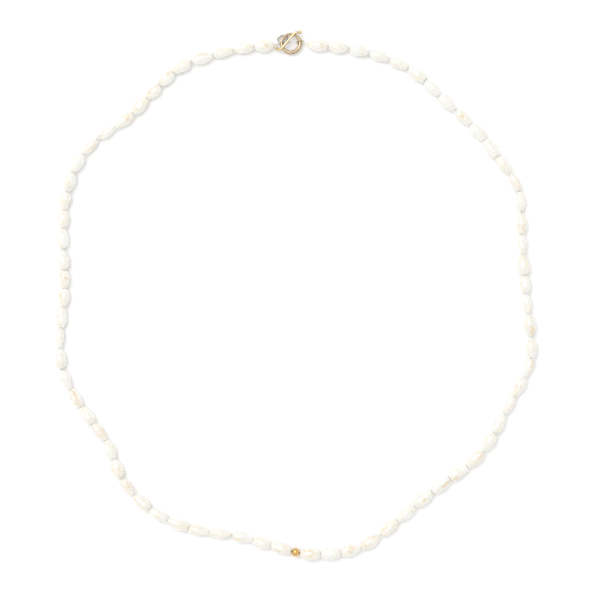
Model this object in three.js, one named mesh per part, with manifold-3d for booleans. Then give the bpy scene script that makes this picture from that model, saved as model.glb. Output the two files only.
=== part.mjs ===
// A pearl necklace lying closed: rice-shaped baroque pearls strung on one silk thread, a single gold
// bead at the front and a gold toggle clasp at the back. Millimetres, +Z up. The strand lies on z = 0,
// +Y points to the clasp, and the origin is the middle of the strand's outer box.

import * as THREE from 'three';
import { mergeVertices } from 'three/addons/utils/BufferGeometryUtils.js';
import Module from 'manifold-3d';

const wasm = await Module();
wasm.setup();

// Pearls, bead and thread.
const PEARL_SIDES = 8;
const BORE_RADIUS = 0.45;         // hole through a pearl or the bead
const BEAD_SIDES = 12;
const BEAD_BANDS = 6;
const BEAD_RADIUS = 1.25;
const BEAD_LENGTH = 2.4;
const THREAD_RADIUS = 0.22;       // doubled silk
const HINGE_GAP = 0.5;            // bare thread where the strand is free to bend
const PIECE_GAP = 0.3;            // bare thread between two pieces that stay in line
const THREAD_END_GAP = 0.15;      // from a bending point to the end of each thread
const THREAD_LEAD = 0.35;         // straight thread outside the first and the last pearl
const LONE_PEARL = 37;            // beside the bead; every other pearl is one of a pair

// The outline of a pearl from one tip to the other: [place along it from -1 to 1, share of its radius].
const EVEN = [[-1, 0.44], [-0.72, 0.78], [-0.28, 1], [0.28, 1], [0.72, 0.78], [1, 0.44]];
const DROP = [[-1, 0.38], [-0.6, 0.62], [-0.05, 0.9], [0.4, 1], [0.78, 0.82], [1, 0.46]];
const KNOB = [[-1, 0.4], [-0.78, 0.66], [-0.42, 0.7], [0.05, 1], [0.6, 0.92], [1, 0.45]];
const TURNED_DROP = DROP.map(([along, share]) => [-along, share]).reverse();

// The kinds of pearl. Lengths are those before the strand is drawn to the length of its route.
const PEARLS = {
  r: { length: 5.85, girth: 3.55, outline: EVEN },        // rice
  l: { length: 6.3, girth: 3.55, outline: EVEN },         // long
  t: { length: 5.9, girth: 3.2, outline: EVEN },          // thin
  s: { length: 5.8, girth: 2.75, outline: EVEN },         // slim
  p: { length: 5.7, girth: 3.85, outline: EVEN },         // plump
  b: { length: 5.15, girth: 3.5, outline: EVEN },         // short
  k: { length: 5.8, girth: 3.5, outline: KNOB },          // knobbly
  d: { length: 6.0, girth: 3.4, outline: DROP },          // drop
  D: { length: 6.3, girth: 3.4, outline: TURNED_DROP },   // drop, thick end first
};
const BEAD = 'o';

// The sections of the strand between its bending points, clockwise from the right side of the clasp.
// Each letter is one pearl, in stringing order.
const SECTIONS = [
  ['back_right', 'rp'],
  ['right_5', 'pdtktr'],
  ['right_4', 'trktst'],
  ['right_3', 'dspbsl'],
  ['right_2', 'dstsdr'],
  ['right_1', 'lkllDl'],
  ['front', 'lrppotbd'],
  ['left_1', 'DtDtrt'],
  ['left_2', 'pptprd'],
  ['left_3', 'rstbbp'],
  ['left_4', 'rbbprs'],
  ['left_5', 'slrbbr'],
  ['back_left', 'ltrp'],
];

// The line that the strand lies along, from the first pearl's tip to the last one's.
const ROUTE = [
  [3.1, 72.9], [11.8, 72.4], [23.0, 70.1], [34.4, 65.0], [43.3, 56.3], [52.6, 47.8], [59.9, 38.0],
  [64.0, 33.1], [65.0, 27.2], [65.4, 15.1], [66.2, 3.6], [67.7, -9.1], [68.5, -15.5], [67.6, -20.8],
  [61.5, -32.0], [55.5, -43.4], [51.5, -48.2], [40.9, -55.6], [31.2, -63.7], [20.6, -72.2],
  [14.7, -74.4], [2.8, -75.2], [-5.9, -73.1], [-18.1, -69.8], [-30.6, -68.0], [-42.3, -62.7],
  [-51.1, -53.5], [-55.5, -42.4], [-62.9, -32.6], [-68.6, -21.4], [-68.9, -9.6], [-67.7, 1.0],
  [-68.2, 12.7], [-67.9, 24.5], [-65.6, 35.6], [-59.0, 44.9], [-49.2, 51.7], [-41.3, 60.0],
  [-33.2, 67.1], [-21.9, 70.7], [-9.9, 72.9], [-6.8, 73.0],
];

// The clasp. Places are counted from the middle of the toggle ring, heights from the floor.
const RING_CENTRE = new THREE.Vector2(-1.8, 73.4);
const RING_OUTER_RADIUS = 3.15;
const RING_HEIGHT = 1.35;
const RING_THIN = 0.36;           // radius of the wire on its thin side
const RING_SWELL = 0.22;          // how much more it has on its heavy side
const RING_HEAVY_ANGLE = -Math.PI / 3;
const BAR_RADIUS = 0.33;
const BALL_RADIUS = 0.55;
const BAR_HEIGHT = 2.28;
const BAR_LINE = [
  [-4.25, -1.5], [-3.85, -1.75], [-3.34, -1.8], [-2.78, -1.47], [-2.12, -0.72], [-1.23, 0.31],
  [-0.33, 1.36], [0.45, 2.26], [0.95, 2.78], [1.5, 3.1], [2.12, 3.17], [2.67, 3.23],
];
const EYE_CENTRE = [-0.9, 0.7, 1.35];
const EYE_RADIUS = 0.8;
const EYE_WIRE_RADIUS = 0.15;
const EYE_AXIS = new THREE.Vector3(0.65, 0.76, 0).normalize();   // along the bar
const LINK_RADIUS = 0.19;
const LINK_LINE = [
  [-0.98, 1.75, 0.85], [-1.02, 0.82, 1.12], [-1.75, 0.3, 0.85], [-2.9, 0.1, 0.65],
  [-3.75, 0.45, 0.65], [-3.95, 1.3, 0.65], [-2.75, 2.3, 0.65], [-1.6, 2.35, 0.65],
];
const JUMP_RING_RADIUS = 1.0;
const JUMP_RING_WIRE_RADIUS = 0.18;
const JUMP_RING_ANGLE = 0.16;     // where it sits on the toggle ring, from +X
const JUMP_RING_REACH = 2.85;     // from the toggle ring's middle to its own
const LOOP_RADIUS = 0.43;         // the thread's end loops round the metal
const LOOP_THREAD_RADIUS = 0.15;
const LEFT_LOOP_CENTRE = [-3.75, 0.45, 0.65];
const LEFT_LOOP_AXIS = new THREE.Vector3(-0.75, 0.66, 0).normalize();   // along the link there

// How finely round wire is cut: sides round it and steps along it.
const RING_CUTS = { sides: 8, steps: 30 };
const BAR_CUTS = { sides: 8, steps: 18 };
const EYE_CUTS = { sides: 6, steps: 16 };
const JUMP_RING_CUTS = { sides: 6, steps: 18 };
const LINK_CUTS = { sides: 6, steps: 24 };
const THREAD_SIDES = 6;
const LOOP_CUTS = { sides: 6, steps: 12 };
const BALL_CUTS = { sides: 10, steps: 6 };
const ROUTE_DIVISIONS = 4000;

const UP = new THREE.Vector3(0, 0, 1);

function finish(color, roughness, metalness) {
  return new THREE.MeshStandardMaterial({ color, roughness, metalness });
}

const nacre = () => finish(0xf3ece2, 0.25, 0);
const silk = () => finish(0xefece4, 0.8, 0);
const gold = () => finish(0xe3c491, 0.25, 1);
const plainWire = () => finish(0xbfb49a, 0.3, 1);

// A closed three.js geometry as a solid.
function toSolid(geometry) {
  const bare = geometry.index ? geometry.toNonIndexed() : geometry;
  bare.deleteAttribute('normal');
  bare.deleteAttribute('uv');
  const merged = mergeVertices(bare, 1e-4);
  const vertProperties = new Float32Array(merged.attributes.position.array);
  const triVerts = new Uint32Array(merged.index.array);
  return new wasm.Manifold(new wasm.Mesh({ numProp: 3, vertProperties, triVerts }));
}

function toMesh(name, solid, material) {
  const { vertProperties, triVerts } = solid.getMesh();
  const geometry = new THREE.BufferGeometry();
  geometry.setAttribute('position', new THREE.BufferAttribute(new Float32Array(vertProperties), 3));
  geometry.setIndex(new THREE.BufferAttribute(new Uint32Array(triVerts), 1));
  geometry.computeVertexNormals();
  const mesh = new THREE.Mesh(geometry, material);
  mesh.name = name;
  return mesh;
}

function joined(solids) {
  return solids.reduce((whole, next) => whole.add(next));
}

function sum(values) {
  return values.reduce((total, value) => total + value, 0);
}

// Moves every vertex of a geometry to where a function of its number and old place says.
function reshaped(geometry, newPlace) {
  const place = geometry.attributes.position;
  for (let i = 0; i < place.count; i++) {
    const { x, y, z } = newPlace(i, new THREE.Vector3().fromBufferAttribute(place, i));
    place.setXYZ(i, x, y, z);
  }
  return geometry;
}

// A round wire with flat ends, along an open curve.
function wire(curve, radius, { sides, steps }) {
  const section = new THREE.Shape();
  section.absarc(0, 0, radius, 0, 2 * Math.PI);
  const curveSegments = sides / 2;
  return toSolid(new THREE.ExtrudeGeometry(section, { steps, extrudePath: curve, curveSegments }));
}

// A round wire joined end to end, along a closed curve.
function closedWire(curve, radius, { sides, steps }) {
  const { normals, binormals } = curve.computeFrenetFrames(steps, true);
  const ring = new THREE.TorusGeometry(1, 0.5, sides, steps);
  return toSolid(reshaped(ring, (i) => {
    const step = (i % (steps + 1)) % steps;
    const around = (-2 * Math.PI * Math.floor(i / (steps + 1))) / sides;
    return curve.getPointAt(step / steps)
      .addScaledVector(normals[step], Math.cos(around) * radius)
      .addScaledVector(binormals[step], Math.sin(around) * radius);
  }));
}

// A plain ring of round wire, square to an axis.
function wireRing(radius, wireRadius, centre, axis, { sides, steps }) {
  const turn = new THREE.Quaternion().setFromUnitVectors(UP, axis);
  const ring = new THREE.TorusGeometry(radius, wireRadius, sides, steps);
  return toSolid(ring.applyQuaternion(turn).translate(...centre));
}

function ball(radius, centre) {
  const { sides, steps } = BALL_CUTS;
  return toSolid(new THREE.SphereGeometry(radius, sides, steps).translate(...centre));
}

function claspPoint([x, y, z]) {
  return new THREE.Vector3(RING_CENTRE.x + x, RING_CENTRE.y + y, z);
}

// Pearls are joined in pairs, tip to tip: 1 with 2 up to 35 with 36, and 38 with 39 up to 72 with 73.
function nodeName({ isBead, number }) {
  if (isBead) return 'gold_bead';
  if (number === LONE_PEARL) return `pearl_${number}`;
  const isOdd = number % 2 === 1;
  const first = number < LONE_PEARL === isOdd ? number : number - 1;
  const digits = (n) => String(n).padStart(2, '0');
  return `pearls_${digits(first)}_${digits(first + 1)}`;
}

function gapAfter(piece, next) {
  if (!next) return 0;
  if (piece.section !== next.section) return HINGE_GAP;
  return nodeName(piece) === nodeName(next) ? 0 : PIECE_GAP;
}

function listPieces() {
  let pearlsSoFar = 0;
  return SECTIONS.flatMap(([section, letters]) => [...letters].map((letter) => {
    if (letter === BEAD) {
      return { section, isBead: true, length: BEAD_LENGTH, radius: BEAD_RADIUS };
    }
    pearlsSoFar += 1;
    const { length, girth, outline } = PEARLS[letter];
    return { section, isBead: false, number: pearlsSoFar, length, radius: girth / 2, outline };
  }));
}

// Gives every piece its stretch of the route. The pearls share what the bead and the gaps leave, and
// each gap lies at the height where its larger neighbour just touches the floor.
function layStrand() {
  const route = new THREE.CatmullRomCurve3(ROUTE.map(([x, y]) => new THREE.Vector3(x, y, 0)));
  route.arcLengthDivisions = ROUTE_DIVISIONS;
  const routeLength = route.getLength();
  const pointAt = (place) => route.getPointAt(THREE.MathUtils.clamp(place / routeLength, 0, 1));

  const pieces = listPieces();
  const gaps = pieces.map((piece, i) => gapAfter(piece, pieces[i + 1]));
  const pearlLength = sum(pieces.map((piece) => (piece.isBead ? 0 : piece.length)));
  const stretch = (routeLength - sum(gaps) - BEAD_LENGTH) / pearlLength;

  let place = 0;
  pieces.forEach((piece, i) => {
    const length = piece.isBead ? piece.length : piece.length * stretch;
    piece.gapBefore = gaps[i - 1] ?? 0;
    piece.gapAfter = gaps[i];
    piece.from = pointAt(place - piece.gapBefore / 2);
    piece.to = pointAt(place + length + piece.gapAfter / 2);
    piece.from.z = Math.max(piece.radius, pieces[i - 1]?.radius ?? 0);
    piece.to.z = Math.max(piece.radius, pieces[i + 1]?.radius ?? 0);
    place += length + piece.gapAfter;
  });
  return pieces;
}

// The rings of vertices along one piece: a place on its axis, the axis and a radius for each.
function outlineRings(piece) {
  const axis = piece.to.clone().sub(piece.from);
  const half = (axis.length() - (piece.gapBefore + piece.gapAfter) / 2) / 2;
  axis.normalize();
  const middle = piece.from.clone().addScaledVector(axis, piece.gapBefore / 2 + half);
  const outline = piece.isBead ? beadOutline() : piece.outline;
  return outline.map(([along, share]) => ({
    centre: middle.clone().addScaledVector(axis, along * half),
    axis,
    radius: share * piece.radius,
  }));
}

// A circle's outline, cut off where the hole comes out.
function beadOutline() {
  const widest = Math.asin(BEAD_LENGTH / (2 * BEAD_RADIUS));
  const latitudes = Array.from({ length: BEAD_BANDS + 1 }, (_, i) => widest * ((2 * i) / BEAD_BANDS - 1));
  const mouth = BORE_RADIUS / BEAD_RADIUS + 0.06;
  return latitudes.map((latitude) => {
    return [Math.sin(latitude) / Math.sin(widest), Math.max(Math.cos(latitude), mouth)];
  });
}

// Where the two pearls of a pair meet, their last and first rings become one.
function waist(before, after) {
  return {
    centre: before.centre,
    axis: before.axis.clone().add(after.axis).normalize(),
    radius: (before.radius + after.radius) / 2,
  };
}

// A turned and drilled body of one piece or of a pair, whose axis bends at the waist. A flat of its
// outline faces the floor.
function drilledBody(pieces, sides) {
  const [first, second] = pieces.map(outlineRings);
  const waists = second ? [waist(first.at(-1), second[0])] : [];
  const outer = second ? [...first.slice(0, -1), ...waists, ...second.slice(1)] : first;
  const bore = [outer.at(-1), ...waists, outer[0]].map((ring) => ({ ...ring, radius: BORE_RADIUS }));
  const rings = [...outer, ...bore, outer[0]];

  const cornerShare = 1 / Math.cos(Math.PI / sides);
  const profile = rings.map(({ radius }, i) => new THREE.Vector2(radius * cornerShare, i));
  const turned = new THREE.LatheGeometry(profile, sides, Math.PI / sides);
  return toSolid(reshaped(turned, (i, corner) => {
    const { centre, axis } = rings[i % rings.length];
    const up = UP.clone().addScaledVector(axis, -axis.z).normalize();
    const side = new THREE.Vector3().crossVectors(axis, up);
    return centre.clone().addScaledVector(side, corner.x).addScaledVector(up, corner.z);
  }));
}

function addPearlsAndBead(group, pieces) {
  for (const name of new Set(pieces.map(nodeName))) {
    const own = pieces.filter((piece) => nodeName(piece) === name);
    const { isBead } = own[0];
    const solid = drilledBody(own, isBead ? BEAD_SIDES : PEARL_SIDES);
    group.add(toMesh(name, solid, isBead ? gold() : nacre()));
  }
}

// A point beyond the first of two, on the line through both.
function pointBeyond(end, inner, distance) {
  const outwards = end.clone().sub(inner).normalize();
  return end.clone().addScaledVector(outwards, distance);
}

// The thread of each section runs through its pieces from one bending point to the next. At the clasp
// it leaves the last pearl straight and then goes to its end loop.
function addThreads(group, pieces, endLoops) {
  for (const [section] of SECTIONS) {
    const own = pieces.filter((piece) => piece.section === section);
    const [start, second, ...rest] = [own[0].from, ...own.map((piece) => piece.to)];
    const [end, nextToEnd] = [second, ...rest].reverse();
    const loop = endLoops[section];
    const isFirst = section === 'back_right';
    const isLast = section === 'back_left';
    const points = [
      ...(isFirst ? [loop.tie, pointBeyond(start, second, THREAD_LEAD), start] : []),
      ...(isFirst ? [] : [pointBeyond(start, second, -THREAD_END_GAP)]),
      second,
      ...rest.slice(0, -1),
      ...(isLast ? [end, pointBeyond(end, nextToEnd, THREAD_LEAD), loop.tie] : []),
      ...(isLast ? [] : [pointBeyond(end, nextToEnd, -THREAD_END_GAP)]),
    ];
    const steps = points.length * (loop ? 4 : 1);
    const run = wire(new THREE.CatmullRomCurve3(points), THREAD_RADIUS, { sides: THREAD_SIDES, steps });
    group.add(toMesh(`thread_${section}`, loop ? run.add(loop.solid) : run, silk()));
  }
}

// A loop of thread round a wire that runs along an axis. The thread is tied on where the loop faces
// the pearl's tip.
function endLoop(centre, axis, tip) {
  const towards = tip.clone().sub(centre).projectOnPlane(axis).normalize();
  return {
    solid: wireRing(LOOP_RADIUS, LOOP_THREAD_RADIUS, centre, axis, LOOP_CUTS),
    tie: centre.clone().addScaledVector(towards, LOOP_RADIUS),
  };
}

// The toggle ring's wire swells towards its heavy side while its outer edge stays a circle.
function toggleRing() {
  const { sides, steps } = RING_CUTS;
  const unitWire = 0.5;
  return toSolid(reshaped(new THREE.TorusGeometry(1, unitWire, sides, steps), (i, { x, y, z }) => {
    const angle = Math.atan2(y, x);
    const wireRadius = RING_THIN + (RING_SWELL * (1 + Math.cos(angle - RING_HEAVY_ANGLE))) / 2;
    const outwards = (Math.hypot(x, y) - 1) / unitWire;
    const reach = RING_OUTER_RADIUS + (outwards - 1) * wireRadius;
    const height = RING_HEIGHT + (z / unitWire) * wireRadius;
    return claspPoint([reach * Math.cos(angle), reach * Math.sin(angle), height]);
  }));
}

// The bar is an S of wire with a ball on each end, and an eye below its middle holds the link.
function toggleBar() {
  const line = BAR_LINE.map(([x, y]) => claspPoint([x, y, BAR_HEIGHT]));
  return joined([
    wire(new THREE.CatmullRomCurve3(line), BAR_RADIUS, BAR_CUTS),
    ball(BALL_RADIUS, line[0]),
    ball(BALL_RADIUS, line.at(-1)),
    wireRing(EYE_RADIUS, EYE_WIRE_RADIUS, claspPoint(EYE_CENTRE), EYE_AXIS, EYE_CUTS),
  ]);
}

function buildNecklace() {
  const group = new THREE.Group();
  const pieces = layStrand();

  const outward = new THREE.Vector3(Math.cos(JUMP_RING_ANGLE), Math.sin(JUMP_RING_ANGLE), 0);
  const jumpRingAxis = new THREE.Vector3(-outward.y, outward.x, 0);
  const jumpRingCentre = claspPoint([0, 0, RING_HEIGHT]).addScaledVector(outward, JUMP_RING_REACH);
  const rightLoopCentre = jumpRingCentre.clone().addScaledVector(outward, JUMP_RING_RADIUS);
  const leftLoopCentre = claspPoint(LEFT_LOOP_CENTRE);
  const jumpRing = wireRing(
    JUMP_RING_RADIUS, JUMP_RING_WIRE_RADIUS, jumpRingCentre, jumpRingAxis, JUMP_RING_CUTS,
  );
  // The link runs under the toggle ring, from the left end of the thread to the bar's eye.
  const linkCurve = new THREE.CatmullRomCurve3(LINK_LINE.map(claspPoint), true);

  addPearlsAndBead(group, pieces);
  addThreads(group, pieces, {
    back_right: endLoop(rightLoopCentre, UP, pieces[0].from),
    back_left: endLoop(leftLoopCentre, LEFT_LOOP_AXIS, pieces.at(-1).to),
  });
  group.add(toMesh('toggle_ring', toggleRing(), gold()));
  group.add(toMesh('jump_ring', jumpRing, plainWire()));
  group.add(toMesh('toggle_bar', toggleBar(), gold()));
  group.add(toMesh('bar_link', closedWire(linkCurve, LINK_RADIUS, LINK_CUTS), plainWire()));

  // Where the strand bends, what the bead turns about and what the clasp's pieces hang from.
  const bead = pieces.find((piece) => piece.isBead);
  const bends = pieces.slice(1).filter((piece, i) => piece.section !== pieces[i].section);
  group.userData.pivots = {
    ...Object.fromEntries(bends.map((piece) => [piece.section, piece.from])),
    gold_bead: bead.from,
    gold_bead_end: bead.to,
    jump_ring: rightLoopCentre,
    toggle_ring: jumpRingCentre,
    bar_link: leftLoopCentre,
    toggle_bar: claspPoint(EYE_CENTRE),
  };

  const box = new THREE.Box3().setFromObject(group);
  const middle = box.getCenter(new THREE.Vector3());
  group.position.set(-middle.x, -middle.y, -box.min.z);
  return group;
}

export default buildNecklace();
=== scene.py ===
"""A closed strand of baroque rice pearls with a gold bead and a gold toggle clasp, lying on a pale table.

Every piece is a surface worked out on a grid and placed where the frame says. Lengths are in metres;
the dimensions that the strand and the clasp are built to are written in millimetres times MM.
"""

import math

import bpy
import numpy as np
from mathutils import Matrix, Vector


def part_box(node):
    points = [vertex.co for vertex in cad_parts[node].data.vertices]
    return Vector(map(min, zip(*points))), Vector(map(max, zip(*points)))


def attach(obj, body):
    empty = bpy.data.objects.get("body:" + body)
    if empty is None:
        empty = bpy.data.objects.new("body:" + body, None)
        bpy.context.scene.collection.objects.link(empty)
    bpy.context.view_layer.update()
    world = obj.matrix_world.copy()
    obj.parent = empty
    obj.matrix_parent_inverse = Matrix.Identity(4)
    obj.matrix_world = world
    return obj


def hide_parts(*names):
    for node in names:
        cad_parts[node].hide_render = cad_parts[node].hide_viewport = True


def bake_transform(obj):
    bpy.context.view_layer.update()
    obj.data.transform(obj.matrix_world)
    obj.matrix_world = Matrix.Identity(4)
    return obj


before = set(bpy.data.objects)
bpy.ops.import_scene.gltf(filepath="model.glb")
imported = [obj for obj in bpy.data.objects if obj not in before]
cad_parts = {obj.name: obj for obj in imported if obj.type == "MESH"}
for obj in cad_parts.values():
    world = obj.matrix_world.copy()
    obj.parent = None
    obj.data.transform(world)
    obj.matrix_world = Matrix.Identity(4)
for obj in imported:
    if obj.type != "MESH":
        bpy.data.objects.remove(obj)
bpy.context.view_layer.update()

MM = 0.001
TURN = 2 * math.pi
UP = np.array([0.0, 0.0, 1.0])

# --------------------------------------------------------------------------------------------------
# The strand's layout
# --------------------------------------------------------------------------------------------------

BEAD_RADIUS = 1.25 * MM
BEAD_LENGTH = 2.4 * MM
HINGE_GAP = 0.5 * MM
PIECE_GAP = 0.3 * MM
LONE_PEARL = 37
BEAD = "o"

# Length and girth in millimetres and the form of each kind of pearl.
PEARLS = {
    "r": (5.85, 3.55, "even"),
    "l": (6.3, 3.55, "even"),
    "t": (5.9, 3.2, "even"),
    "s": (5.8, 2.75, "even"),
    "p": (5.7, 3.85, "even"),
    "b": (5.15, 3.5, "even"),
    "k": (5.8, 3.5, "knobbly"),
    "d": (6.0, 3.4, "drop"),
    "D": (6.3, 3.4, "turned drop"),
}

# The sections between the places where the strand bends, and the kinds of pearl on each, clockwise.
SECTIONS = [
    ("back_right", "rp"),
    ("right_5", "pdtktr"),
    ("right_4", "trktst"),
    ("right_3", "dspbsl"),
    ("right_2", "dstsdr"),
    ("right_1", "lkllDl"),
    ("front", "lrppotbd"),
    ("left_1", "DtDtrt"),
    ("left_2", "pptprd"),
    ("left_3", "rstbbp"),
    ("left_4", "rbbprs"),
    ("left_5", "slrbbr"),
    ("back_left", "ltrp"),
]

# The line that the strand lies along, in millimetres, from the first pearl's tip to the last one's.
ROUTE = [
    (3.1, 72.9), (11.8, 72.4), (23.0, 70.1), (34.4, 65.0), (43.3, 56.3), (52.6, 47.8), (59.9, 38.0),
    (64.0, 33.1), (65.0, 27.2), (65.4, 15.1), (66.2, 3.6), (67.7, -9.1), (68.5, -15.5), (67.6, -20.8),
    (61.5, -32.0), (55.5, -43.4), (51.5, -48.2), (40.9, -55.6), (31.2, -63.7), (20.6, -72.2),
    (14.7, -74.4), (2.8, -75.2), (-5.9, -73.1), (-18.1, -69.8), (-30.6, -68.0), (-42.3, -62.7),
    (-51.1, -53.5), (-55.5, -42.4), (-62.9, -32.6), (-68.6, -21.4), (-68.9, -9.6), (-67.7, 1.0),
    (-68.2, 12.7), (-67.9, 24.5), (-65.6, 35.6), (-59.0, 44.9), (-49.2, 51.7), (-41.3, 60.0),
    (-33.2, 67.1), (-21.9, 70.7), (-9.9, 72.9), (-6.8, 73.0),
]

RING_PLACE = np.array([-1.8, 73.4]) * MM
ring_low, ring_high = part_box("toggle_ring")
ring_middle = (np.array(ring_low) + np.array(ring_high)) / 2
STRAND_SHIFT = np.array([*(ring_middle[:2] - RING_PLACE), 0.0])


def unit(v):
    """Each vector divided by its length."""
    return v / np.linalg.norm(v, axis=-1, keepdims=True)


def spline(points, closed=False, steps=40):
    """A centripetal Catmull-Rom curve: between each two points a cubic whose end slopes come from the
    neighbouring points, weighted by the square roots of the distances."""
    p = np.asarray(points, float)
    if closed:
        p = np.vstack([p[-1], p, p[:2]])
    else:
        p = np.vstack([2 * p[0] - p[1], p, 2 * p[-1] - p[-2]])
    a, b, c, d = p[:-3], p[1:-2], p[2:-1], p[3:]
    gap = [np.sqrt(np.linalg.norm(q - r, axis=1))[:, None] for q, r in ((b, a), (c, b), (d, c))]
    slope_b = ((b - a) / gap[0] - (c - a) / (gap[0] + gap[1]) + (c - b) / gap[1]) * gap[1]
    slope_c = ((c - b) / gap[1] - (d - b) / (gap[1] + gap[2]) + (d - c) / gap[2]) * gap[1]
    t = (np.arange(steps) / steps)[None, :, None]
    b, c, slope_b, slope_c = (x[:, None, :] for x in (b, c, slope_b, slope_c))
    curve = (
        b
        + slope_b * t
        + (3 * (c - b) - 2 * slope_b - slope_c) * t**2
        + (2 * (b - c) + slope_b + slope_c) * t**3
    )
    curve = curve.reshape(-1, p.shape[1])
    return curve if closed else np.vstack([curve, p[-2]])


class Line:
    """A curve read by distance along it."""

    def __init__(self, points):
        self.points = np.asarray(points, float)
        reach = np.linalg.norm(np.diff(self.points, axis=0), axis=1)
        self.place = np.concatenate([[0], np.cumsum(reach)])
        self.length = self.place[-1]

    def at(self, distance):
        axes = range(self.points.shape[1])
        return np.stack([np.interp(distance, self.place, self.points[:, i]) for i in axes], axis=-1)


def node_name(piece):
    """Pearls are paired in the frame: 1 with 2 up to 35 with 36, and 38 with 39 up to 72 with 73."""
    number = piece["number"]
    if piece["bead"]:
        return "gold_bead"
    if number == LONE_PEARL:
        return f"pearl_{number}"
    first = number if (number < LONE_PEARL) == (number % 2 == 1) else number - 1
    return f"pearls_{first:02d}_{first + 1:02d}"


def lay_strand():
    """Gives every pearl and the bead its stretch of the route. The route's points between two pieces lie
    as high as the larger one's radius, so that it just touches the table, and neighbours share the
    plane between them, whose normal is the mean of their axes."""
    pieces = []
    for section, letters in SECTIONS:
        for letter in letters:
            bead = letter == BEAD
            length, girth, form = (BEAD_LENGTH / MM, 2 * BEAD_RADIUS / MM, "") if bead else PEARLS[letter]
            number = sum(not p["bead"] for p in pieces) + 1
            pieces.append(
                dict(section=section, bead=bead, number=number, form=form)
                | dict(length=length * MM, radius=girth / 2 * MM)
            )
    gaps = []
    for piece, after in zip(pieces, pieces[1:]):
        same_section = piece["section"] == after["section"]
        same_node = node_name(piece) == node_name(after)
        gaps.append(HINGE_GAP if not same_section else 0.0 if same_node else PIECE_GAP)
    route = Line(spline(np.array(ROUTE) * MM, steps=100) + STRAND_SHIFT[:2])
    pearl_length = sum(p["length"] for p in pieces if not p["bead"])
    stretch = (route.length - sum(gaps) - BEAD_LENGTH) / pearl_length
    place = 0.0
    radii = [0.0] + [p["radius"] for p in pieces] + [0.0]
    for i, piece in enumerate(pieces):
        piece["length"] *= 1.0 if piece["bead"] else stretch
        piece["gap_before"] = gaps[i - 1] if i else 0.0
        piece["gap_after"] = gaps[i] if i < len(gaps) else 0.0
        piece["from_place"] = place - piece["gap_before"] / 2
        piece["to_place"] = place + piece["length"] + piece["gap_after"] / 2
        for end, neighbour in (("from", radii[i]), ("to", radii[i + 2])):
            piece[end] = np.append(route.at(piece[end + "_place"]), max(piece["radius"], neighbour))
        place += piece["length"] + piece["gap_after"]
    axes = unit(np.array([piece["to"] - piece["from"] for piece in pieces]))
    planes = unit(np.vstack([axes[:1], axes[:-1] + axes[1:], axes[-1:]]))
    for i, piece in enumerate(pieces):
        piece["end_planes"] = planes[i : i + 2]
    return pieces


# --------------------------------------------------------------------------------------------------
# Surfaces on grids
# --------------------------------------------------------------------------------------------------


def add_piece(name, vertices, faces, material, attributes=()):
    """Makes one smooth mesh object at the origin from arrays of corners and faces."""
    mesh = bpy.data.meshes.new(name)
    mesh.from_pydata(vertices.tolist(), [], faces)
    mesh.update()
    for label, values in dict(attributes).items():
        attribute = mesh.attributes.new(label, "FLOAT", "POINT")
        attribute.data.foreach_set("value", np.asarray(values, np.float32).ravel())
    mesh.polygons.foreach_set("use_smooth", np.ones(len(mesh.polygons), bool))
    mesh.materials.append(material)
    piece = bpy.data.objects.new(name, mesh)
    bpy.context.scene.collection.objects.link(piece)
    return piece


def grid_faces(rows, columns, closed_rows):
    """Quads between neighbouring rows of a grid whose columns run all the way round."""
    r = np.arange(rows if closed_rows else rows - 1)[:, None]
    c = np.arange(columns)[None, :]
    r_next, c_next = (r + 1) % rows, (c + 1) % columns
    quads = [r * columns + c, r * columns + c_next, r_next * columns + c_next, r_next * columns + c]
    return np.stack(quads, axis=-1).reshape(-1, 4)


def outward(vertices, quads):
    """Turns the faces round if the volume that they enclose comes out negative."""
    a, b, c, d = (vertices[quads[:, k]] for k in range(4))
    volume = np.sum(a * np.cross(b, c)) + np.sum(a * np.cross(c, d))
    return quads if volume > 0 else quads[:, ::-1]


def ring_surface(name, grid, material, attributes=()):
    """A surface closed both ways, as a tyre is: the last row joins the first, and the last column the
    first."""
    rows, columns = grid.shape[:2]
    vertices = grid.reshape(-1, 3)
    quads = outward(vertices, grid_faces(rows, columns, True))
    return add_piece(name, vertices, quads.tolist(), material, attributes)


def capped_surface(name, grid, material, attributes=()):
    """A tube whose two open ends are each closed by a fan round the middle of the last row."""
    rows, columns = grid.shape[:2]
    vertices = np.vstack([grid.reshape(-1, 3), grid[0].mean(0), grid[-1].mean(0)])
    quads = grid_faces(rows, columns, False)
    turned = outward(vertices, quads)
    c = np.arange(columns)
    c_next = (c + 1) % columns
    start = np.stack([c_next, c, np.full(columns, rows * columns)], axis=-1)
    last = (rows - 1) * columns
    end = np.stack([last + c, last + c_next, np.full(columns, rows * columns + 1)], axis=-1)
    fans = np.vstack([start, end])
    if turned is not quads:
        fans = fans[:, ::-1]
    return add_piece(name, vertices, turned.tolist() + fans.tolist(), material, attributes)


def side_and_up(path, closed=False):
    """The level direction square to a path and the upward one, at each of its points. The tangent is the
    difference of the neighbouring points, and the path is never upright."""
    if closed:
        tangent = unit(np.roll(path, -1, axis=0) - np.roll(path, 1, axis=0))
    else:
        tangent = unit(np.gradient(path, axis=0))
    side = unit(np.cross(UP, tangent))
    return side, np.cross(tangent, side)


def swept(path, radius, columns, closed=False):
    """A tube: path + radius * (cos a * side + sin a * up), with a running once round. The radius is one
    number, one per point, or one per point and direction."""
    side, up = side_and_up(path, closed)
    angle = np.broadcast_to(TURN * np.arange(columns) / columns, (len(path), columns))
    if np.ndim(radius) < 2:
        radius = np.asarray(radius, float).reshape(-1, 1)
    r = np.broadcast_to(radius, angle.shape)
    out = np.cos(angle)[..., None] * side[:, None] + np.sin(angle)[..., None] * up[:, None]
    return path[:, None] + r[..., None] * out


def smooth_step(x):
    """3x² - 2x³, held at 0 below 0 and at 1 above 1."""
    x = np.clip(x, 0, 1)
    return x * x * (3 - 2 * x)


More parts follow.
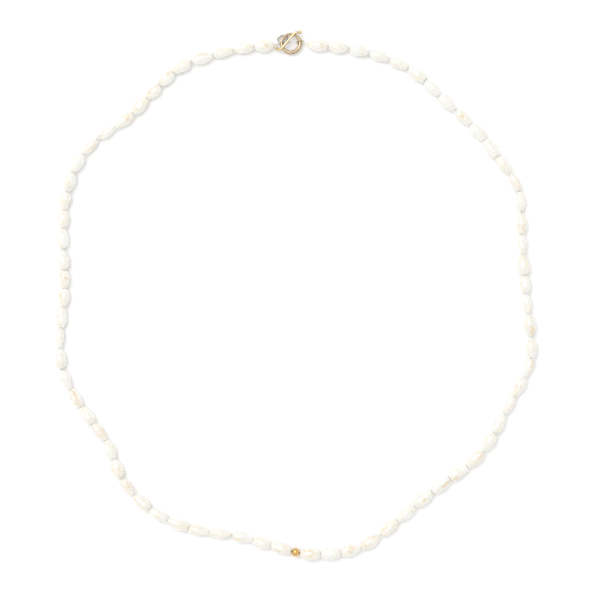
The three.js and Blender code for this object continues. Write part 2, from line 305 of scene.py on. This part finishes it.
# --------------------------------------------------------------------------------------------------
# Materials
# --------------------------------------------------------------------------------------------------


class Field:
    """A shader socket that takes part in Python expressions by adding Math nodes."""

    def __init__(self, shading, socket):
        self.shading, self.socket = shading, socket

    def _math(self, operation, first, second):
        return self.shading.node("ShaderNodeMath", {"operation": operation}, {0: first, 1: second})

    def __add__(self, other):
        return self._math("ADD", self, other)

    __radd__ = __add__

    def __sub__(self, other):
        return self._math("SUBTRACT", self, other)

    def __rsub__(self, other):
        return self._math("SUBTRACT", other, self)

    def __mul__(self, other):
        return self._math("MULTIPLY", self, other)

    __rmul__ = __mul__


class Shading:
    """Builds one node material with a Principled surface. Values that are the same all over are set on
    the surface's own sockets."""

    def __init__(self, name, **constants):
        self.material = bpy.data.materials.new(name)
        self.material.use_nodes = True
        self.tree = self.material.node_tree
        self.tree.nodes.clear()
        self.surface = self.tree.nodes.new("ShaderNodeBsdfPrincipled")
        output = self.tree.nodes.new("ShaderNodeOutputMaterial")
        self.tree.links.new(self.surface.outputs[0], output.inputs[0])
        self.set(self.surface, {label.replace("_", " "): value for label, value in constants.items()})

    def set(self, node, inputs):
        for key, value in inputs.items():
            if isinstance(value, Field):
                self.tree.links.new(value.socket, node.inputs[key])
            else:
                node.inputs[key].default_value = value

    def node(self, kind, settings=None, inputs=None, out=0):
        node = self.tree.nodes.new(kind)
        for key, value in (settings or {}).items():
            if key == "stops":
                self._stops(node.color_ramp, value)
            else:
                setattr(node, key, value)
        self.set(node, inputs or {})
        return Field(self, node.outputs[out])

    @staticmethod
    def _stops(ramp, stops):
        while len(ramp.elements) < len(stops):
            ramp.elements.new(1.0)
        for element, (place, colour) in zip(ramp.elements, stops):
            element.position = place
            element.color = (*colour, 1.0)

    def mix(self, factor, first, second):
        """One colour turning into another."""
        wide = [(*c, 1.0) if isinstance(c, tuple) else c for c in (first, second)]
        settings = {"data_type": "RGBA"}
        return self.node("ShaderNodeMix", settings, {0: factor, 6: wide[0], 7: wide[1]}, out=2)

    def ramp(self, value, low, high):
        """0 below low, 1 above high and smooth between."""
        settings = {"interpolation_type": "SMOOTHSTEP"}
        return self.node("ShaderNodeMapRange", settings, {0: value, 1: low, 2: high})

    def noise(self, scale, detail=3.0, roughness=0.5, distortion=0.0, at=None):
        where = at or self.node("ShaderNodeTexCoord", out=3)
        inputs = {"Vector": where, "Scale": scale, "Detail": detail}
        inputs |= {"Roughness": roughness, "Distortion": distortion}
        return self.node("ShaderNodeTexNoise", None, inputs)

    def attribute(self, label):
        return self.node("ShaderNodeAttribute", {"attribute_name": label}, out=2)

    def bump(self, height, strength, distance):
        inputs = {"Height": height, "Strength": strength, "Distance": distance}
        return self.node("ShaderNodeBump", None, inputs)

    def finish(self, **inputs):
        self.set(self.surface, {label.replace("_", " "): value for label, value in inputs.items()})
        return self.material


def nacre():
    """Layered pearl: ivory with drifts of cream and blush. A darker, warmer colour down in its hollows is
    painted shade, and a cream tint at its tips, end faces and bore is a painted glow of the light between
    the pearls.
    """
    s = Shading(
        "pearl_nacre",
        IOR=1.65,
        Coat_Weight=1.0,
        Coat_Roughness=0.025,
        Coat_IOR=2.1,
        Subsurface_Weight=0.6,
        Subsurface_Radius=(1.0, 0.85, 0.6),
        Subsurface_Scale=1.2 * MM,
    )
    tint = s.attribute("tint")
    hollow = s.attribute("hollow")
    drift = s.noise(260.0, 3.0, 0.55, 0.6)
    blush = s.noise(150.0, 2.0, 0.5, 0.3)
    grain = s.noise(2600.0, 4.0, 0.6)
    ivory = s.mix(tint, (0.75, 0.75, 0.72), (0.735, 0.715, 0.65))
    cream = s.mix(s.ramp(drift, 0.45, 0.66) * 0.7, ivory, (0.73, 0.69, 0.58))
    warm = s.mix(s.ramp(blush, 0.53, 0.68) * 0.6, cream, (0.74, 0.665, 0.56))
    # Painted glow: a cream tint on the tips, end faces and bore, standing for light that shines through
    # the nacre between neighbouring pearls.
    tip_glow = s.mix(s.attribute("tip") * 0.5, warm, (0.78, 0.74, 0.64))
    # Painted shade: a darker, warmer colour mixed in where the skin lies deep in hollows and creases.
    colour = s.mix(s.ramp(hollow, 0.3, 1.0) * 0.75, tip_glow, (0.68, 0.545, 0.35))
    return s.finish(
        Base_Color=colour,
        Roughness=0.2 + 0.14 * drift + 0.12 * hollow,
        Normal=s.bump(grain + 1.5 * drift, 0.12, 0.03 * MM),
    )


def gold(name, bright, deep, smoothest):
    """Plated cast wire: the colour deepens in drifts, and fine scratches and pits catch the light."""
    s = Shading(name, Metallic=1.0)
    cloud = s.noise(380.0, 3.0, 0.6, 0.4)
    lengthwise = s.node(
        "ShaderNodeMapping", None, {0: s.node("ShaderNodeTexCoord", out=3), "Scale": (1.0, 7.0, 3.0)}
    )
    scratches = s.noise(1500.0, 4.0, 0.7, 0.2, at=lengthwise)
    return s.finish(
        Base_Color=s.mix(s.ramp(cloud, 0.36, 0.66), bright, deep),
        Roughness=smoothest + 0.12 * scratches * cloud,
        Normal=s.bump(scratches + 0.8 * cloud, 0.08, 0.02 * MM),
    )


def silk():
    """Plied silk: fine fibres along the twist, with painted shade making it a little darker in the
    grooves between the plies.
    """
    s = Shading("silk_thread", Sheen_Weight=0.4, Sheen_Roughness=0.4)
    groove = s.attribute("groove")
    fibre = s.noise(9000.0, 3.0, 0.6)
    return s.finish(
        # Painted shade: the colour darkens with the depth in the groove between the plies.
        Base_Color=s.mix(groove, (0.80, 0.79, 0.75), (0.62, 0.60, 0.54)),
        Roughness=0.62 + 0.2 * fibre,
        Normal=s.bump(fibre - groove, 0.3, 0.02 * MM),
    )


def table_finish():
    """Matt white board with a faint speck."""
    s = Shading("pale_table")
    speck = s.noise(900.0, 3.0, 0.5)
    return s.finish(
        Base_Color=s.mix(speck, (0.93, 0.93, 0.93), (0.90, 0.90, 0.90)),
        Roughness=0.7 + 0.1 * speck,
    )


NACRE = nacre()
SATIN_GOLD = gold("satin_gold", (0.56, 0.45, 0.31), (0.44, 0.34, 0.22), 0.32)
PALE_GOLD = gold("pale_gold", (0.72, 0.58, 0.37), (0.58, 0.44, 0.25), 0.07)
BEAD_GOLD = gold("bead_gold", (0.73, 0.47, 0.19), (0.60, 0.35, 0.11), 0.1)
PLAIN_WIRE = gold("thin_wire_gold", (0.36, 0.32, 0.25), (0.26, 0.22, 0.16), 0.18)
PALE_WIRE = gold("pale_wire_gold", (0.74, 0.68, 0.46), (0.52, 0.45, 0.27), 0.08)
SILK = silk()

# --------------------------------------------------------------------------------------------------
# Pearls and bead
# --------------------------------------------------------------------------------------------------

PEARL_ROWS = 64
PEARL_COLUMNS = 56
BORE_ROWS = 6
HOLE_RADIUS = 0.3 * MM
# How far in the rows of each end face lie, from the tip's edge (1) to the hole's (0).
FACE_STEPS = np.array([0.975, 0.86, 0.5])
FACE_ROUNDING = np.array([0.35, 0.0, 0.0])
TIP_ROUNDING = 0.02 * MM
# Between two pearls that touch, and between two that bend against each other.
TOUCH_GAP = 0.012 * MM
BEND_GAP = 0.24 * MM
# The end faces' share of the pearl's radius, in the same two cases.
PLAIN_TIP = 0.37
BEND_TIP = 0.22
SEED = 1000


def pearl_outline(form, lean, u):
    """Share of the full radius at place u, from -1 at one tip to 1 at the other. An even pearl is a
    superellipse whose widest place leans a little to one end; a drop leans more and has a thin end; a
    knobbly one joins a big and a small lobe."""
    u = u - lean * (1 - u**2)
    blunt = np.clip(1 - np.abs(u) ** 2, 0, 1) ** 0.82
    if form == "even":
        return blunt
    if form == "knobbly":
        big = np.clip(1 - np.abs((u - 0.22) / 0.78) ** 2.4, 0, 1) ** 0.55
        small = 0.68 * np.clip(1 - np.abs((u + 0.6) / 0.4) ** 2.2, 0, 1) ** 0.5
        return (big**6 + small**6) ** (1 / 6)
    towards = u if form == "drop" else -u
    full = np.clip(1 - towards**2, 0, 1) ** 0.76
    thin_end = 0.62 + 0.38 * smooth_step((towards + 1.0) / 1.25)
    return full * thin_end


def angle_from(angle, centre):
    """Signed angle from a centre, from minus to plus half a turn."""
    return (angle - centre + math.pi) % TURN - math.pi


def mound(u, angle, place, turn, long, wide, edge):
    """An oval plateau on the pearl's skin: 1 inside, 0 outside, with an edge of the given softness."""
    away = np.sqrt(((u - place) / long) ** 2 + (angle_from(angle, turn) / wide) ** 2)
    return smooth_step((1 + edge - away) / (2 * edge))


def baroque_relief(rng, u, angle):
    """How far the nacre stands off the plain outline, as a share of the radius. It is a sum of
    an oval cross-section, slow lumps, wandering lengthwise creases, blunt-edged mounds and hollows of
    which the first lies on the upper side, small pits, and growth rings that fade away from one end."""
    relief = 0.05 * rng.uniform(0.3, 1) * np.cos(2 * (angle - rng.uniform(0, TURN)))
    for order in (1, 2, 3):
        phase_u, phase_a = rng.uniform(0, TURN, 2)
        size = rng.uniform(0.01, 0.028) / order**0.5
        relief = relief + size * np.sin(order * 2.1 * u + phase_u) * np.cos(order * angle + phase_a)
    for _ in range(rng.integers(1, 4)):
        wander = rng.uniform(0, TURN) + rng.uniform(-0.9, 0.9) * u
        wander = wander + 0.3 * np.sin(3 * u + rng.uniform(0, TURN))
        width = rng.uniform(0.12, 0.3)
        reach = np.exp(-(((u - rng.uniform(-0.5, 0.5)) / rng.uniform(0.35, 0.7)) ** 2))
        depth = rng.uniform(0.04, 0.11) * reach
        relief = relief - depth * np.exp(-((angle_from(angle, wander) / width) ** 2))
    for i in range(rng.integers(4, 8)):
        turn = math.pi / 2 + rng.uniform(-0.8, 0.8) if i < 2 else rng.uniform(0, TURN)
        oval = (rng.uniform(-0.7, 0.7), turn, rng.uniform(0.14, 0.5), rng.uniform(0.3, 0.8))
        height = rng.choice([-1.0, 1.0]) * rng.uniform(0.03, 0.075)
        relief = relief + height * mound(u, angle, *oval, rng.uniform(0.15, 0.35))
    for _ in range(rng.integers(5, 11)):
        place, turn = rng.uniform(-0.85, 0.85), rng.uniform(0, TURN)
        long, wide = rng.uniform(0.03, 0.08), rng.uniform(0.1, 0.26)
        relief = relief - rng.uniform(0.02, 0.05) * mound(u, angle, place, turn, long, wide, 0.7)
    for _ in range(5):
        along, turns = rng.uniform(5, 13), rng.integers(3, 8)
        phases = rng.uniform(0, TURN, 2)
        relief = relief + 0.009 * np.sin(along * u + phases[0]) * np.sin(turns * angle + phases[1])
    end = rng.choice([-1.0, 1.0])
    rings = np.sin(rng.uniform(16, 26) * u + 0.9 * np.sin(2 * angle + rng.uniform(0, TURN)))
    fade = smooth_step((end * u - rng.uniform(-0.1, 0.5)) / 0.4)
    return relief + rng.uniform(0.006, 0.022) * rings * fade


def pearl_grid(piece, half, tips, rng):
    """Rows run from tip to tip over the outside, with u the sine of an even angle, across the end face
    and back through the hole; columns run round. The radius is the tip's share plus the rest of the
    outline times 1 + relief. Towards each tip the rows slant, as the eighth power of u, until the end
    faces lie parallel to the planes between the neighbours."""
    rise = np.linspace(-math.pi / 2, math.pi / 2, PEARL_ROWS)
    u = np.sin(rise)[:, None]
    angle = (TURN * np.arange(PEARL_COLUMNS) / PEARL_COLUMNS)[None, :]
    body = pearl_outline(piece["form"], rng.uniform(-0.22, 0.22), u)
    body = body / body.max()
    relief = baroque_relief(rng, u, angle)
    tip_share = np.where(u < 0, *tips)
    share = tip_share + (1 - tip_share) * body * (1 + relief)
    share = share / max(share.max(), 1.0)
    axis = piece["to"] - piece["from"]
    axis = axis / np.linalg.norm(axis)
    up = unit(UP - axis * axis[2])
    side = np.cross(axis, up)
    middle = piece["from"] + axis * (piece["gap_before"] / 2 + piece["plain_half"])
    last, first = share[[-1, 0]] * piece["radius"] - HOLE_RADIUS
    steps = FACE_STEPS[:, None]
    faces = [HOLE_RADIUS + last * steps, HOLE_RADIUS + first * steps[::-1]]
    bore = np.full((BORE_ROWS, PEARL_COLUMNS), HOLE_RADIUS)
    edge = 1 - TIP_ROUNDING / half
    rounding = TIP_ROUNDING / half * FACE_ROUNDING
    u_back = np.concatenate([1 - rounding, np.linspace(0.99, -0.99, BORE_ROWS), rounding[::-1] - 1])
    all_u = np.vstack([np.clip(u, -edge, edge), u_back[:, None]])
    all_r = np.vstack([share * piece["radius"], faces[0], bore, faces[1]])
    out = np.cos(angle)[..., None] * side + np.sin(angle)[..., None] * up
    slopes = [-(out[0] @ plane) / (axis @ plane) for plane in piece["end_planes"]]
    slant = np.where(all_u < 0, *slopes) * np.abs(all_u) ** 8 * all_r
    grid = middle + (all_u * half + slant)[..., None] * axis + all_r[..., None] * out
    # How deep the skin lies below the plain outline, for the painted shade in the hollows and for
    # roughness, and the tips' share, for the painted glow at the ends; the end faces and bore get no
    # shade and full glow.
    hollow = np.clip((0.01 - relief) / 0.13, 0, 1)
    tip = np.broadcast_to(np.abs(u) ** 6, hollow.shape)
    inside = np.zeros((len(u_back), PEARL_COLUMNS))
    return grid, {"hollow": np.vstack([hollow, inside]), "tip": np.vstack([tip, inside + 1])}


def make_pearl(piece, follows_bend, leads_bend):
    """One drilled pearl between its two neighbours, with a random skin of its own."""
    rng = np.random.default_rng(SEED + piece["number"])
    axis_length = np.linalg.norm(piece["to"] - piece["from"])
    tips = [BEND_TIP if bends else PLAIN_TIP for bends in (follows_bend, leads_bend)]
    piece["plain_half"] = (axis_length - (piece["gap_before"] + piece["gap_after"]) / 2) / 2
    spare_before = piece["gap_before"] / 2 - (BEND_GAP if follows_bend else TOUCH_GAP) / 2
    spare_after = piece["gap_after"] / 2 - (BEND_GAP if leads_bend else TOUCH_GAP) / 2
    half = piece["plain_half"] + (spare_before + spare_after) / 2
    grid, skin = pearl_grid(piece, half, tips, rng)
    axis = unit(piece["to"] - piece["from"])
    grid = grid + axis * (spare_after - spare_before) / 2
    skin["tint"] = np.full(grid.shape[:2], rng.uniform(0, 1))
    name = f"pearl_no_{piece['number']:02d}"
    pearl = ring_surface(name, grid, NACRE, skin)
    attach(pearl, "strand_" + piece["section"])
    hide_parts(node_name(piece))


BEAD_HOLE = 0.42 * MM
BEAD_BORE = 0.9 * BEAD_HOLE
BEAD_LIP = 0.04 * MM


def make_bead(piece):
    """A ball cut off at both ends, R * (sin b along the axis, cos b out from it), with a lip that turns
    in to a slightly narrower hole."""
    rows, columns, bore_rows = 40, 56, 6
    axis = unit(piece["to"] - piece["from"])
    up = unit(UP - axis * axis[2])
    side = np.cross(axis, up)
    middle = (piece["from"] + piece["to"]) / 2
    end = math.asin(BEAD_LENGTH / 2 / BEAD_RADIUS)
    latitude = np.linspace(-end, end, rows)
    along = BEAD_RADIUS * np.sin(latitude)
    radius = np.maximum(BEAD_RADIUS * np.cos(latitude), BEAD_HOLE)
    inner = np.linspace(1, -1, bore_rows)
    along = np.concatenate([along, inner * (BEAD_LENGTH / 2 - BEAD_LIP)])
    radius = np.concatenate([radius, np.full(bore_rows, BEAD_BORE)])
    angle = TURN * np.arange(columns) / columns
    out = np.cos(angle)[:, None] * side + np.sin(angle)[:, None] * up
    grid = middle + along[:, None, None] * axis + radius[:, None, None] * out[None]
    bead = ring_surface("front_bead", grid, BEAD_GOLD)
    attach(bead, "gold_bead")
    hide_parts("gold_bead")


# --------------------------------------------------------------------------------------------------
# Thread
# --------------------------------------------------------------------------------------------------

THREAD_RADIUS = 0.2 * MM
THREAD_STEP = 0.1 * MM
THREAD_COLUMNS = 18
PLIES = 3
PLY_PITCH = 1.1 * MM
# The thread bends within this distance of each joint, and rounds each corner within the other.
BEND_REACH = 1.0 * MM
CORNER = 0.6 * MM
# The loop at each end, how far it is pulled out, and the straight stretch before the outer pearl.
END_LOOP_RADIUS = 0.37 * MM
END_LOOP_THREAD = 0.13 * MM
LOOP_SLACK = 0.04 * MM
LEAD = 0.35 * MM


def plied_radius(distance, columns, radius):
    """The section of a twisted cord: radius * (0.8 + 0.2 |cos|) with as many lobes as plies, turning once
    in each pitch, and how deep in a groove each point lies."""
    angle = TURN * np.arange(columns)[None, :] / columns
    lobes = np.abs(np.cos(PLIES / 2 * (angle - TURN * distance[:, None] / PLY_PITCH)))
    return radius * (0.8 + 0.2 * lobes), 1 - lobes


def make_thread(name, path):
    """A plied cord swept along a path, with a flat cap at each end."""
    line = Line(path)
    distance = np.linspace(0, line.length, max(4, int(line.length / THREAD_STEP)))
    lobed, groove = plied_radius(distance, THREAD_COLUMNS, THREAD_RADIUS)
    grid = swept(line.at(distance), lobed, THREAD_COLUMNS)
    cap_middles = np.zeros(2)
    depth = {"groove": np.concatenate([groove.ravel() ** 2, cap_middles])}
    thread = capped_surface(name, grid, SILK, depth)
    return thread


def soft_corners(points, fixed):
    """Replaces each inner corner by a point a short way before it and one as far after it, so that the
    thread runs straight down the middle of each hole. The first few points may be kept."""
    kept, rest = points[:fixed], points[fixed:]
    way = unit(np.diff(rest, axis=0))
    pairs = np.stack([rest[1:-1] - way[:-1] * CORNER, rest[1:-1] + way[1:] * CORNER], axis=1)
    return np.vstack([kept, rest[:1], pairs.reshape(-1, 3), rest[-1:]])


def cut(points, before, after):
    """A path without its first and last stretches."""
    line = Line(points)
    distance = np.arange(before, line.length - after, THREAD_STEP)
    return line.at(np.append(distance, line.length - after))


# --------------------------------------------------------------------------------------------------
# Clasp
# --------------------------------------------------------------------------------------------------

RING_OUTER_RADIUS = 3.15 * MM
RING_HEIGHT = 1.35 * MM
RING_THIN = 0.36 * MM
RING_SWELL = 0.22 * MM
RING_HEAVY_ANGLE = -math.pi / 3
BAR_RADIUS = 0.33 * MM
BALL_RADIUS = 0.57 * MM
BAR_HEIGHT = 2.28 * MM
BAR_LINE = [
    (-4.25, -1.5), (-3.85, -1.75), (-3.34, -1.8), (-2.78, -1.47), (-2.12, -0.72), (-1.23, 0.31),
    (-0.33, 1.36), (0.45, 2.26), (0.95, 2.78), (1.5, 3.1), (2.12, 3.17), (2.67, 3.23),
]
EYE_CENTRE = (-1.06, 0.84, 1.35)
EYE_HALF_HEIGHT = 0.8 * MM
EYE_HALF_WIDTH = 0.56 * MM
EYE_WIRE = 0.15 * MM
EYE_AXIS = unit(np.array([0.65, 0.76, 0.0]))
LINK_WIRE = 0.15 * MM
LINK_LINE = [
    (-0.98, 1.75, 0.85), (-1.02, 0.82, 1.12), (-1.75, 0.3, 0.85), (-2.8, 0.06, 0.65),
    (-3.45, 0.24, 0.65), (-3.68, 0.8, 0.65), (-3.93, 1.42, 0.65), (-3.9, 1.58, 0.65), (-3.5, 1.86, 0.65),
    (-2.75, 2.38, 0.65), (-1.6, 2.35, 0.65),
]
JUMP_RADIUS = 0.92 * MM
JUMP_WIRE = 0.19 * MM
JUMP_LEAN = math.radians(30)
JUMP_ANGLE = 0.16
JUMP_REACH = 2.72 * MM
LEFT_LOOP = (-3.45, 0.24, 0.65)
LEFT_LOOP_AXIS = unit(np.array([-0.76, 0.64, 0.0]))


def clasp_point(place):
    """A place counted in millimetres from the middle of the toggle ring, in the frame."""
    return np.append(ring_middle[:2], 0.0) + np.array(place) * MM


def torus(centre, axis, radius, wire, rows=72, columns=24, stretch=0.0):
    """A wire ring, centre + radius * (cos t * across + sin t * other), square to its axis, with a round
    wire of the given radius carried along it; stretch is added to its half height."""
    across = unit(np.cross(axis, UP if abs(axis[2]) < 0.9 else np.array([1.0, 0, 0])))
    other = np.cross(axis, across)
    t = (TURN * np.arange(rows) / rows)[:, None, None]
    a = (TURN * np.arange(columns) / columns)[None, :, None]
    line = centre + radius * np.cos(t) * across + (radius + stretch) * np.sin(t) * other
    out = unit((radius + stretch) * np.cos(t) * across + radius * np.sin(t) * other)
    return line + wire * np.cos(a) * out + wire * np.sin(a) * axis


def make_toggle_ring():
    """A ring whose outer edge is a circle. Its wire's radius is thin + swell * (1 + cos(t - heavy)) / 2,
    with a slight hand-made waver."""
    rows, columns = 120, 32
    t = (TURN * np.arange(rows) / rows)[:, None]
    a = (TURN * np.arange(columns) / columns)[None, :]
    wire = RING_THIN + RING_SWELL * (1 + np.cos(t - RING_HEAVY_ANGLE)) / 2
    wire = wire * (1 + 0.015 * np.sin(5 * t + 0.6) + 0.01 * np.sin(9 * t + 2 * a))
    reach = RING_OUTER_RADIUS - wire + wire * np.cos(a)
    grid = np.stack([reach * np.cos(t), reach * np.sin(t), wire * np.sin(a)], axis=-1)
    ring = ring_surface("clasp_ring", grid + clasp_point((0, 0, 0)) + UP * RING_HEIGHT, SATIN_GOLD)
    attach(ring, "toggle_ring")
    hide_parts("toggle_ring")


def ball_ended_radius(distance, length):
    """Radius along the bar: at each end that of a ball, sqrt(B² - (x - B)²), and from there on the larger
    of it and the wire's, which rises in a smooth step and is a little thicker near the neck."""
    from_end = np.minimum(distance, length - distance)
    ball = np.sqrt(np.clip(BALL_RADIUS**2 - (from_end - BALL_RADIUS) ** 2, 0, None))
    thick = BAR_RADIUS * (1 + 0.14 * np.exp(-((from_end - 1.6 * MM) / MM) ** 2))
    wire = thick * smooth_step((from_end - 0.3 * BALL_RADIUS) / (0.8 * BALL_RADIUS))
    return np.maximum(np.maximum(ball, wire), 1e-6)


def make_toggle_bar():
    """The bar, with its eye let into the underside."""
    line = Line(spline([clasp_point((x, y, BAR_HEIGHT / MM)) for x, y in BAR_LINE]))
    path = np.vstack([
        line.points[0] - unit(line.points[1] - line.points[0]) * BALL_RADIUS,
        line.points,
        line.points[-1] + unit(line.points[-1] - line.points[-2]) * BALL_RADIUS,
    ])
    whole = Line(path)
    inner = np.linspace(2 * BALL_RADIUS, whole.length - 2 * BALL_RADIUS, 90)
    cap = 2 * BALL_RADIUS * (1 - np.cos(np.linspace(0, math.pi, 28))) / 2
    distance = np.concatenate([cap[:-1], inner, whole.length - cap[::-1][1:]])
    grid = swept(whole.at(distance), ball_ended_radius(distance, whole.length), 28)
    bar = capped_surface("clasp_bar", grid, PALE_GOLD)
    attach(bar, "toggle_bar")
    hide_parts("toggle_bar")
    taller = EYE_HALF_HEIGHT - EYE_HALF_WIDTH
    oval = torus(clasp_point(EYE_CENTRE), EYE_AXIS, EYE_HALF_WIDTH, EYE_WIRE, stretch=taller)
    eye = ring_surface("clasp_bar_eye", oval, SATIN_GOLD)
    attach(eye, "toggle_bar")


def make_link():
    """Round wire carried along a bent oval."""
    line = spline([clasp_point(p) for p in LINK_LINE], closed=True)
    grid = swept(line, LINK_WIRE, 20, closed=True)
    link = ring_surface("clasp_link", grid, PLAIN_WIRE)
    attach(link, "bar_link")
    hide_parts("bar_link")


def jump_ring_frame():
    """The jump ring's centre, the way outwards from the clasp, the way up it leans, and its axis."""
    outwards = np.array([math.cos(JUMP_ANGLE), math.sin(JUMP_ANGLE), 0.0])
    level = np.array([-outwards[1], outwards[0], 0.0])
    centre = clasp_point((0, 0, RING_HEIGHT / MM)) + outwards * JUMP_REACH
    leaning = UP * math.cos(JUMP_LEAN) + level * math.sin(JUMP_LEAN)
    return centre, outwards, leaning, np.cross(leaning, outwards)


def make_jump_ring():
    """A plain round ring of round wire."""
    centre, _, _, axis = jump_ring_frame()
    ring = ring_surface("clasp_jump_ring", torus(centre, axis, JUMP_RADIUS, JUMP_WIRE), PALE_WIRE)
    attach(ring, "jump_ring")
    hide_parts("jump_ring")


# --------------------------------------------------------------------------------------------------
# Assembly
# --------------------------------------------------------------------------------------------------


def end_loops():
    """The middle and the axis of the thread's loop at each end of the strand."""
    centre, outwards, leaning, _ = jump_ring_frame()
    return {
        "back_right": (centre + outwards * (JUMP_RADIUS + LOOP_SLACK), leaning),
        "back_left": (clasp_point(LEFT_LOOP), LEFT_LOOP_AXIS),
    }


def make_end_loop(section, centre, axis, points):
    """Ties the thread round the clasp's metal, and gives the thread's path from the loop inwards."""
    tip, inner = points[0], points[1]
    towards = tip - centre
    towards = unit(towards - axis * np.dot(towards, axis))
    tie = centre + towards * END_LOOP_RADIUS
    grid = torus(centre, axis, END_LOOP_RADIUS, END_LOOP_THREAD, 48, 16)
    loop = ring_surface("thread_loop_" + section, grid, SILK)
    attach(loop, "strand_" + section)
    return np.vstack([tie, tip + unit(tip - inner) * LEAD, points])


def make_threads(pieces):
    """One run of thread on each section, and a short bend from each section to the next."""
    loops = end_loops()
    paths = {}
    for section, _ in SECTIONS:
        own = [piece for piece in pieces if piece["section"] == section]
        points = np.array([own[0]["from"]] + [piece["to"] for piece in own])
        fixed = 0
        if section in loops:
            if section == "back_left":
                points = points[::-1]
            points = make_end_loop(section, *loops[section], points)
            fixed = 2
        paths[section] = spline(soft_corners(points, fixed), steps=30)
    for section, path in paths.items():
        start = 0.0 if section in loops else BEND_REACH
        thread = make_thread("silk_" + section, cut(path, start, BEND_REACH))
        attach(thread, "strand_" + section)
        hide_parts("thread_" + section)
    paths["back_left"] = paths["back_left"][::-1]
    reach = np.linspace(0, BEND_REACH, 11)
    for (before, _), (after, _) in zip(SECTIONS, SECTIONS[1:]):
        first, second = Line(paths[before]), Line(paths[after])
        points = np.vstack([first.at(first.length - reach[::-1]), second.at(reach[1:])])
        bend = make_thread(f"silk_bend_{before}_{after}", points)
        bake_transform(bend)


pieces = lay_strand()
for i, piece in enumerate(pieces):
    if piece["bead"]:
        make_bead(piece)
    else:
        follows = i > 0 and pieces[i - 1]["section"] != piece["section"]
        leads = i + 1 < len(pieces) and pieces[i + 1]["section"] != piece["section"]
        make_pearl(piece, follows, leads)
make_threads(pieces)
make_toggle_ring()
make_toggle_bar()
make_link()
make_jump_ring()

# --------------------------------------------------------------------------------------------------
# Table, light and camera
# --------------------------------------------------------------------------------------------------


TABLE_HALF_SIDE = 1.5
TABLE_DROP = 0.02 * MM
SOFTBOX_PLACE = (-0.38, 0.38, 1.0)
SOFTBOX_ACROSS = 0.75
SOFTBOX_POWER = 4.9
ROOM_STRENGTH = 1.0
LENS = 120.0
SENSOR = 36.0
VIEW_WIDTH = 174.5 * MM
VIEW_MIDDLE = (1.21 * MM, -1.27 * MM, 1.8 * MM)


def make_table():
    """A flat square just under the pearls."""
    half = TABLE_HALF_SIDE
    corners = np.array([[-half, -half, 0], [half, -half, 0], [half, half, 0], [-half, half, 0]])
    table = add_piece("table", corners - UP * TABLE_DROP, [[0, 1, 2, 3]], table_finish())


def make_softbox():
    """A round softbox at the upper left that points at the middle of the table."""
    data = bpy.data.lights.new("key_softbox", "AREA")
    data.shape = "DISK"
    data.size = SOFTBOX_ACROSS
    data.energy = SOFTBOX_POWER
    light = bpy.data.objects.new("key_softbox", data)
    bpy.context.scene.collection.objects.link(light)
    light.location = SOFTBOX_PLACE
    light.rotation_euler = (-Vector(SOFTBOX_PLACE)).to_track_quat("-Z", "Y").to_euler()


def make_camera():
    """Straight above the strand, at the distance from which the lens takes in the view's width."""
    data = bpy.data.cameras.new("camera")
    data.lens, data.sensor_width = LENS, SENSOR
    data.clip_start, data.clip_end = 0.01, 10.0
    camera = bpy.data.objects.new("camera", data)
    bpy.context.scene.collection.objects.link(camera)
    x, y, z = VIEW_MIDDLE
    camera.location = (x, y, VIEW_WIDTH * LENS / SENSOR + z)
    bpy.context.scene.camera = camera


def make_world():
    """Even white light from all round."""
    world = bpy.data.worlds.new("studio")
    world.use_nodes = True
    background = world.node_tree.nodes["Background"]
    background.inputs["Color"].default_value = (1.0, 1.0, 1.0, 1.0)
    background.inputs["Strength"].default_value = ROOM_STRENGTH
    bpy.context.scene.world = world


make_table()
make_world()
make_softbox()
make_camera()
bpy.context.scene.view_settings.view_transform = "Standard"
